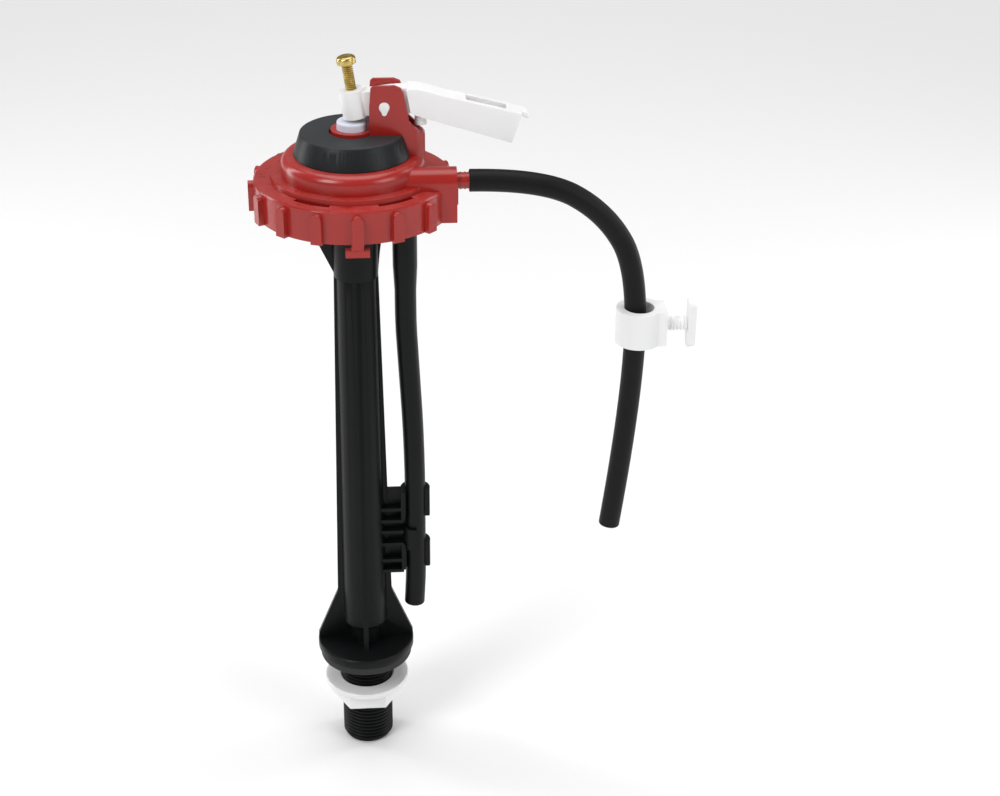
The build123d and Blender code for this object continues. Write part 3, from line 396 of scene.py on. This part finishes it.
def shade_smooth(mesh, angle=crisp_angle):
    """Smooth shading, except across edges that are sharper than the angle, in degrees."""
    for face in mesh.polygons:
        face.use_smooth = True
    mesh.set_sharp_from_angle(angle=radians(angle))


def soften(piece, width, angle=crisp_angle, segments=2):
    """Moulded edges: a small round, in millimetres, on every crisp edge, then smooth shading."""
    bevel = piece.modifiers.new("moulded_edges", "BEVEL")
    bevel.width = width * mm
    bevel.segments = segments
    bevel.limit_method = "ANGLE"
    bevel.angle_limit = radians(angle)
    bevel.use_clamp_overlap = True
    bevel.harden_normals = True
    shade_smooth(piece.data, angle)


def moulded(node, material, body, slot, width=0.3, segments=2):
    """A CAD node's shape with moulded edges."""
    piece = new_piece("moulded_" + node, mesh_from(merged(node), node), material, body, slot, node)
    soften(piece, width, segments=segments)


# --- Threads ---------------------------------------------------------------------------------

thread_columns = 72
rows_per_pitch = 8
thread_sizes = ("Crest Radius", "Root Radius", "Pitch", "Top", "Bottom", "Lead")
# The ridge across one pitch, as shares of half of it: flat root, then a slope up to the crest.
flat_root = 0.12
slope = 0.62
# Keeps a whole number that came out a hair too small from rounding down.
rounding_guard = 0.0001


def thread_tree():
    """Geometry nodes for a helical thread on +Z, from the start height down, with flush ends."""
    tree = bpy.data.node_groups.new("helical_thread", "GeometryNodeTree")
    panel = tree.interface
    panel.new_socket("Geometry", in_out="INPUT", socket_type="NodeSocketGeometry")
    for name in thread_sizes:
        panel.new_socket(name, in_out="INPUT", socket_type="NodeSocketFloat")
    panel.new_socket("Rows", in_out="INPUT", socket_type="NodeSocketInt")
    panel.new_socket("Material", in_out="INPUT", socket_type="NodeSocketMaterial")
    panel.new_socket("Geometry", in_out="OUTPUT", socket_type="NodeSocketGeometry")
    graph = Graph(tree)
    entry = graph.node("NodeGroupInput")
    crest, root, pitch, top, bottom, lead = (
        Number(graph, entry.outputs[name]) for name in thread_sizes
    )
    grid = graph.node(
        "GeometryNodeMeshGrid",
        Size_X=1.0,
        Size_Y=1.0,
        Vertices_X=thread_columns + 1,
        Vertices_Y=entry.outputs["Rows"],
    )
    index = Number(graph, graph.node("GeometryNodeInputIndex").outputs[0])
    rows = Number(graph, entry.outputs["Rows"])
    column = (index / rows + rounding_guard).floor()
    row = index - column * rows
    turn = column / thread_columns
    angle = turn * tau
    level = top + pitch - row * pitch / rows_per_pitch - turn * pitch
    level = level.at_most(top).at_least(bottom)
    swing = abs((row / rows_per_pitch).fraction() * 2.0 - 1.0)
    ridge = ((swing - flat_root) / slope).clamped()
    fade = ((top - level) / lead).clamped() * ((level - bottom) / lead).clamped()
    radius = root + (crest - root) * ridge * fade
    place = graph.node(
        "ShaderNodeCombineXYZ", X=radius * angle.cosine(), Y=radius * angle.sine(), Z=level
    )
    step = grid.outputs["Mesh"]
    for kind, sockets in (
        ("GeometryNodeSetPosition", {"Position": place.outputs[0]}),
        ("GeometryNodeMergeByDistance", {"Distance": weld_gap}),
        ("GeometryNodeSetMaterial", {"Material": entry.outputs["Material"]}),
    ):
        step = graph.node(kind, Geometry=step, **sockets).outputs[0]
    graph.node("NodeGroupOutput", Geometry=step)
    return tree


threads = thread_tree()


def baked_mesh(holder):
    """The mesh that an object makes once its modifiers or its curve have run. The object goes."""
    bpy.context.view_layer.update()
    made = holder.evaluated_get(bpy.context.evaluated_depsgraph_get())
    mesh = bpy.data.meshes.new_from_object(made)
    bpy.data.objects.remove(holder)
    return mesh


def helix(name, crest, root, pitch, top, bottom, material, lead=1.0):
    """A thread's surface as a bmesh: open at both ends, where its radius is the root's.

    The ridge fades in and out over lead pitches.
    """
    carrier = bpy.data.objects.new(name, bpy.data.meshes.new(name))
    bpy.context.scene.collection.objects.link(carrier)
    modifier = carrier.modifiers.new(name, "NODES")
    modifier.node_group = threads
    sockets = {
        item.name: item.identifier
        for item in threads.interface.items_tree
        if item.in_out == "INPUT"
    }
    values = dict(zip(thread_sizes, (crest, root, pitch, top, bottom, lead * pitch)))
    values["Rows"] = int((top - bottom) / pitch * rows_per_pitch) + 2 * rows_per_pitch + 2
    values["Material"] = material
    for label, value in values.items():
        modifier[sockets[label]] = value
    work = bmesh.new()
    work.from_mesh(baked_mesh(carrier))
    bmesh.ops.dissolve_degenerate(work, dist=tiny_gap, edges=work.edges)
    return work


def bridge(work, first, second):
    """A band of faces between two loops that have as many vertices each."""
    for place in range(len(first)):
        after = (place + 1) % len(first)
        work.faces.new((first[place], first[after], second[after], second[place]))


def close_round(work, rings):
    """Joins a thread's bottom rim to its top rim through rings; no rings closes each rim flat.

    A ring is (radius, height), and its radius may be a function of the angle.
    """
    ends = {vert for edge in work.edges if edge.is_boundary for vert in edge.verts}
    rims = sorted(ends, key=lambda vert: vert.co.z)
    middle = (rims[0].co.z + rims[-1].co.z) / 2

    def in_order(verts):
        return sorted(verts, key=lambda vert: vert.co.xy.angle_signed(Vector((1, 0))) % tau)

    low = in_order([vert for vert in rims if vert.co.z < middle])
    high = in_order([vert for vert in rims if vert.co.z >= middle])
    if not rings:
        work.faces.new(low)
        work.faces.new(high)
        return
    loops = [low]
    for radius, level in rings:
        loop = []
        for vert in low:
            direction = vert.co.xy.normalized()
            reach = radius(atan2(direction.y, direction.x)) if callable(radius) else radius
            loop.append(work.verts.new((reach * direction.x, reach * direction.y, level)))
        loops.append(loop)
    loops.append(high)
    for first, second in zip(loops, loops[1:]):
        bridge(work, first, second)


def joined(first, second):
    """One bmesh that holds both shells."""
    spare = bpy.data.meshes.new("spare")
    second.to_mesh(spare)
    second.free()
    first.from_mesh(spare)
    bpy.data.meshes.remove(spare)
    return first


def outward(work):
    bmesh.ops.recalc_face_normals(work, faces=work.faces)


# --- Riser with its threaded shank -----------------------------------------------------------

riser_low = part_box("riser")[0]
supply = next(mount for mount in frame["record"]["mounts"] if mount["name"] == "supply_thread")
shank_crest = supply["dims"]["r_mm"] * mm
shank_pitch = 25.4 / 14 * mm
thread_depth = 1.05 * mm
shank_root = shank_crest - thread_depth
shank_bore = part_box("inlet_strainer")[1].x
thread_top = 1.0 * mm


def threaded_riser():
    """The riser, cut through inside its washer, with a real thread on the shank below the cut."""
    upper = merged("riser")
    cut(upper, (0, 0, thread_top), (0, 0, -1))
    shank = helix(
        "shank_thread", shank_crest, shank_root, shank_pitch, thread_top, riser_low.z, black
    )
    close_round(shank, [(shank_bore, riser_low.z), (shank_bore, thread_top)])
    outward(shank)
    name = "riser_moulding"
    mesh = mesh_from(joined(upper, shank), name)
    soften(new_piece(name, mesh, black, "valve", "black_plastic", "riser"), 0.25, 40.0)


threaded_riser()
moulded("valve_bowl", black, "valve", "black_plastic")
moulded("hush_tube", black, "valve", "black_plastic", 0.4)
moulded("shank_washer", rubber, "valve", "black_rubber", 0.4)
moulded("cap", red, "cap", "red_plastic", 0.4, 3)
moulded("splash_cover", cover_black, "cap", "black_plastic", 0.4)
moulded("lever", white, "lever", "white_plastic")
moulded("lever_pin", white, "cap", "white_plastic", 0.2)
moulded("plunger", clear, "plunger", "white_plastic")
moulded("refill_clamp", white, "refill_clamp", "white_plastic", 0.5)


# --- Screws and nut --------------------------------------------------------------------------

# A screw's head starts where it is this many times as wide as its shank. The shank reaches a
# little into the head, and its ridge fades over this many pitches.
head_ratio = 1.15
head_cut = 0.01 * mm
head_overlap = 0.05 * mm
screw_lead = 0.6


def threaded_screw(node, joint, pitch, depth, material, slot, bevel):
    """A CAD screw with a real thread on its shank, between its tip and its head."""
    along = Vector(joints[joint]["axis"]).normalized()
    origin = Vector(joints[joint]["pos_m"])
    spread = []
    for vert in nodes[node].data.vertices:
        step = vert.co - origin
        run = step.dot(along)
        spread.append((run, (step - along * run).length))
    widest = max(spread, key=lambda pair: pair[1])[0]
    if widest < (min(spread)[0] + max(spread)[0]) / 2:
        along = -along
        spread = [(-run, reach) for run, reach in spread]
    tip = min(spread)[0]
    crest = max(reach for run, reach in spread if run < tip + pitch)
    head = min(run for run, reach in spread if reach > head_ratio * crest)
    top = merged(node)
    cut(top, origin + along * (head + head_cut), -along)
    root = crest - depth
    high = head + head_overlap
    shank = helix(node + "_thread", crest, root, pitch, high, tip, material, screw_lead)
    close_round(shank, [])
    upright = along.to_track_quat("Z", "Y").to_matrix().to_4x4()
    bmesh.ops.transform(shank, matrix=Matrix.Translation(origin) @ upright, verts=shank.verts)
    outward(shank)
    name = "threaded_" + node
    mesh = mesh_from(joined(top, shank), name)
    soften(new_piece(name, mesh, material, node, slot, node), bevel)


threaded_screw("adjusting_screw", "screw_turn", 25.4 / 32 * mm, 0.5 * mm, brass, "brass", 0.12)
threaded_screw("thumb_screw", "thumb_turn", 1.5 * mm, 0.6 * mm, white, "white_plastic", 0.35)


def nut_corner_angle():
    """The direction of one of the hexagon's corners, read from the CAD nut's underside."""
    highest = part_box("lock_nut")[0].z + 1.0 * mm
    rim = [vert.co for vert in nodes["lock_nut"].data.vertices if vert.co.z < highest]
    corner = max(rim, key=lambda place: place.xy.length)
    return atan2(corner.y, corner.x)


def threaded_nut():
    """The lock nut: a domed flange over a hexagon, with the shank's thread in its bore."""
    low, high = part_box("lock_nut")
    flange = high.x
    half_flats = 13.75 * mm
    flange_low = high.z - 3.0 * mm
    mouth = shank_crest + 0.7 * mm
    mouth_top = low.z + 1.5 * mm
    bore_crest = shank_crest + 0.95 * mm
    bore_root = shank_crest + 0.07 * mm
    entry = 0.8 * mm
    entry_radius = shank_crest + 0.05 * mm + entry
    chamfer = 0.5 * mm
    corner_at = nut_corner_angle()

    def hexagon(inset):
        def reach(angle):
            past = (angle - corner_at) % radians(60) - radians(30)
            return (half_flats - inset) / cos(past)

        return reach

    top = high.z - entry
    bore = helix("nut_thread", bore_crest, bore_root, shank_pitch, top, mouth_top, white)
    close_round(bore, [
        (mouth, mouth_top),
        (mouth, low.z + 0.3 * mm),
        (mouth + 0.3 * mm, low.z),
        (hexagon(chamfer), low.z),
        (hexagon(0.0), low.z + chamfer),
        (hexagon(0.0), flange_low),
        (flange - 1.6 * mm, flange_low),
        (flange - 0.5 * mm, flange_low + 0.3 * mm),
        (flange, flange_low + 1.0 * mm),
        (flange, high.z - chamfer),
        (flange - chamfer, high.z),
        (entry_radius, high.z),
        (bore_root, top),
    ])
    bmesh.ops.remove_doubles(bore, verts=bore.verts, dist=tiny_gap)
    outward(bore)
    name = "threaded_nut"
    piece = new_piece(name, mesh_from(bore, name), white, "lock_nut", "white_plastic", "lock_nut")
    shade_smooth(piece.data)


threaded_nut()


# --- Hidden pieces, which keep the CAD's shapes ----------------------------------------------

hidden_materials = {
    "inlet_strainer": natural,
    "valve_seat": natural,
    "diaphragm_insert": natural,
    "diaphragm": rubber,
    "plunger_o_ring": rubber,
    "vent_flap": rubber,
}
for name, material in hidden_materials.items():
    nodes[name].data.materials.clear()
    nodes[name].data.materials.append(material)


# --- Refill tube -----------------------------------------------------------------------------

refill_y = -0.014
refill_route = (
    (0.0444, 0.2283),
    (0.0729, 0.2283),
    (0.0976, 0.2140),
    (0.1118, 0.1893),
    (0.1118, 0.1293),
    (0.1046, 0.0708),
)
refill_outer = 0.0044
refill_inner = 0.0031
tube_sides = 48


def route_line():
    """The refill tube's centre line: a smooth curve whose control points are the route."""
    curve = bpy.data.curves.new("refill_route", "CURVE")
    curve.dimensions = "3D"
    spline = curve.splines.new("NURBS")
    spline.points.add(len(refill_route) - 1)
    for point, (x, z) in zip(spline.points, refill_route):
        point.co = (x, refill_y, z, 1.0)
    spline.order_u = 3
    spline.use_endpoint_u = True
    spline.resolution_u = 24
    holder = bpy.data.objects.new("refill_route", curve)
    bpy.context.scene.collection.objects.link(holder)
    return [vert.co.copy() for vert in baked_mesh(holder).vertices]


def hollow_tube(points, outer, inner):
    """A tube with a real bore along points that lie in a plane across Y."""
    work = bmesh.new()
    across = Vector((0, 1, 0))
    angles = [tau * k / tube_sides for k in range(tube_sides)]
    rings = {outer: [], inner: []}
    for place, point in enumerate(points):
        along = (points[min(place + 1, len(points) - 1)] - points[max(place - 1, 0)]).normalized()
        side = along.cross(across)
        for radius, loops in rings.items():
            loops.append([
                work.verts.new(point + radius * (across * cos(angle) + side * sin(angle)))
                for angle in angles
            ])
    around = [*rings[outer], *reversed(rings[inner])]
    for first, second in zip(around, [*around[1:], around[0]]):
        bridge(work, first, second)
    outward(work)
    return mesh_from(work, "refill_hose")


refill_line = route_line()
hose_mesh = hollow_tube(refill_line, refill_outer, refill_inner)
hose = new_piece("refill_hose", hose_mesh, hose_black, "cap", "black_tube", "refill_tube")
soften(hose, 0.35, 50.0)


# --- Floor, light and camera -----------------------------------------------------------------

floor_size = 6.0
floor_gap = 0.5 * mm
glow_start, glow_end = 0.3, 2.6


def floor():
    """A pale floor that brightens with distance, so that it meets the backdrop without a line."""
    work = bmesh.new()
    bmesh.ops.create_grid(work, x_segments=1, y_segments=1, size=floor_size)
    plane = bpy.data.objects.new("floor", mesh_from(work, "floor"))
    bpy.context.scene.collection.objects.link(plane)
    plane.location.z = riser_low.z - floor_gap
    finish = Finish("pale_floor")
    distance = finish.graph.math("SQRT", finish.x * finish.x + finish.y * finish.y)
    far = distance.ramp(glow_start, glow_end)
    glow = finish.graph.mixed(far, rgb(0.0, 0.0, 0.0), rgb(0.65, 0.65, 0.65))
    finish.set(
        Base_Color=rgb(0.88, 0.88, 0.88),
        Roughness=0.9,
        Emission_Color=glow,
        Emission_Strength=1.0,
    )
    plane.data.materials.append(finish.material)


light_aim = Vector((0.02, 0.0, 0.12))


def soft_light(name, place, width, height, power):
    """A rectangular lamp that points at the middle of the part."""
    lamp = bpy.data.lights.new(name, "AREA")
    lamp.shape = "RECTANGLE"
    lamp.size = width
    lamp.size_y = height
    lamp.energy = power
    holder = bpy.data.objects.new(name, lamp)
    bpy.context.scene.collection.objects.link(holder)
    holder.location = place
    holder.rotation_euler = (light_aim - Vector(place)).to_track_quat("-Z", "Y").to_euler()


floor()
soft_light("key", (-0.9, -0.9, 1.2), 0.6, 0.8, 12.0)
soft_light("fill", (1.1, -0.8, 0.8), 0.7, 0.8, 6.5)
soft_light("top", (0.0, 0.2, 1.5), 1.2, 1.2, 12.5)
soft_light("left_strip", (-0.7, 0.35, 0.35), 0.12, 0.9, 2.5)
soft_light("right_strip", (0.75, 0.25, 0.35), 0.12, 0.9, 2.0)


def studio():
    """A white backdrop to look at, and dimmer walls for the light and the reflections."""
    world = bpy.data.worlds.new("studio")
    world.use_nodes = True
    graph = Graph(world.node_tree)
    world.node_tree.nodes.clear()
    seen = graph.node("ShaderNodeBackground", Color=rgb(1.0, 1.0, 1.0), Strength=1.0)
    walls = graph.node("ShaderNodeBackground", Color=rgb(1.0, 1.0, 1.0), Strength=0.25)
    ray = graph.node("ShaderNodeLightPath")
    mix = graph.node("ShaderNodeMixShader", Fac=ray.outputs["Is Camera Ray"])
    graph.plug(mix.inputs[1], walls.outputs[0])
    graph.plug(mix.inputs[2], seen.outputs[0])
    graph.node("ShaderNodeOutputWorld", Surface=mix.outputs[0])
    bpy.context.scene.world = world


studio()
bpy.context.scene.view_settings.view_transform = "Standard"

camera_place = Vector((0.0, -0.6871, 0.4949))
camera_down = radians(28.19)
camera_pan = radians(4.87)
camera_roll = radians(0.69)
camera_lens = 67.4
sensor_width = 36.0

ahead = Vector((
    sin(camera_pan) * cos(camera_down), cos(camera_pan) * cos(camera_down), -sin(camera_down)
))
level_right = Vector((cos(camera_pan), -sin(camera_pan), 0))
level_up = level_right.cross(ahead)
right = level_right * cos(camera_roll) + level_up * sin(camera_roll)
upward = level_up * cos(camera_roll) - level_right * sin(camera_roll)
camera_data = bpy.data.cameras.new("camera")
camera_data.lens = camera_lens
camera_data.sensor_width = sensor_width
camera = bpy.data.objects.new("camera", camera_data)
bpy.context.scene.collection.objects.link(camera)
facing = Matrix((right, upward, -ahead)).transposed().to_4x4()
camera.matrix_world = Matrix.Translation(camera_place) @ facing
bpy.context.scene.camera = camera
